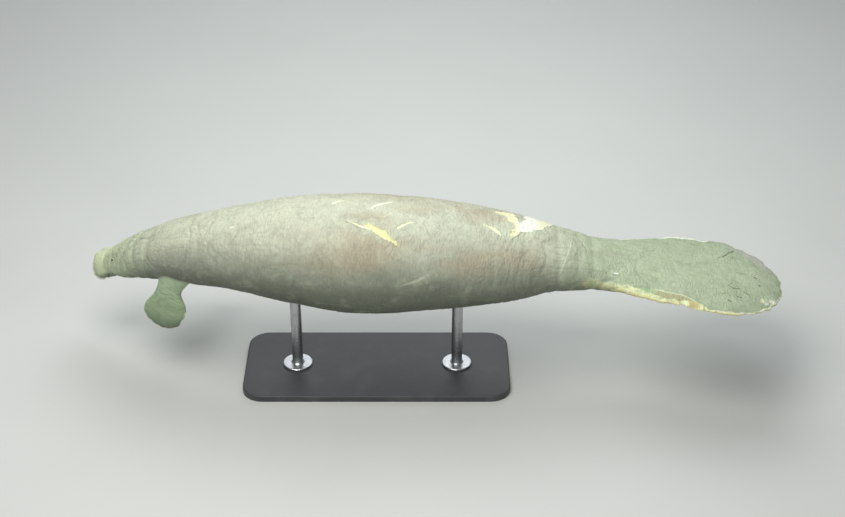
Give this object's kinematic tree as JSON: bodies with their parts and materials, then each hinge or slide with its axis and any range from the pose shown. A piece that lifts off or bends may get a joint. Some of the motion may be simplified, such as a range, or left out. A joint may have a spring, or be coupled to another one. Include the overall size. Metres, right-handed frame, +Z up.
{
  "type": "manatee display model",
  "caption": "Still life-size model of a swimming manatee, head turned and dipped, one flipper hanging, carried on two short rods over a flat base.",
  "frame": {"origin": "centre of the underside of the stand's base", "axes": "+Z up, the animal's length runs along X with its snout towards -X and its tail paddle towards +X, and its left side is at -Y"},
  "size_m": [2.9914, 0.7764, 0.8305],
  "materials": {
    "skin": "damp matt grey-green skin, paler on the back, darker on the belly, with pale scars",
    "flipper_skin": "damp matt green-grey skin",
    "eye": "wet dark brown",
    "nail": "worn horn",
    "stand_base": "matt dark grey paint",
    "stand_rod": "satin"
  },
  "bodies": {
    "root": {"head": "skin", "neck": "skin", "torso": "skin", "tail_stock": "skin", "tail_paddle": "skin", "flipper_left": "flipper_skin", "flipper_right": "flipper_skin", "eye_left": "eye", "eye_right": "eye", "nail_left_1": "nail", "nail_left_2": "nail", "nail_left_3": "nail", "nail_left_4": "nail", "nail_right_1": "nail", "nail_right_2": "nail", "nail_right_3": "nail", "nail_right_4": "nail", "stand_base": "stand_base", "stand_rod_front": "stand_rod", "stand_rod_rear": "stand_rod"}
  },
  "joints": []
}
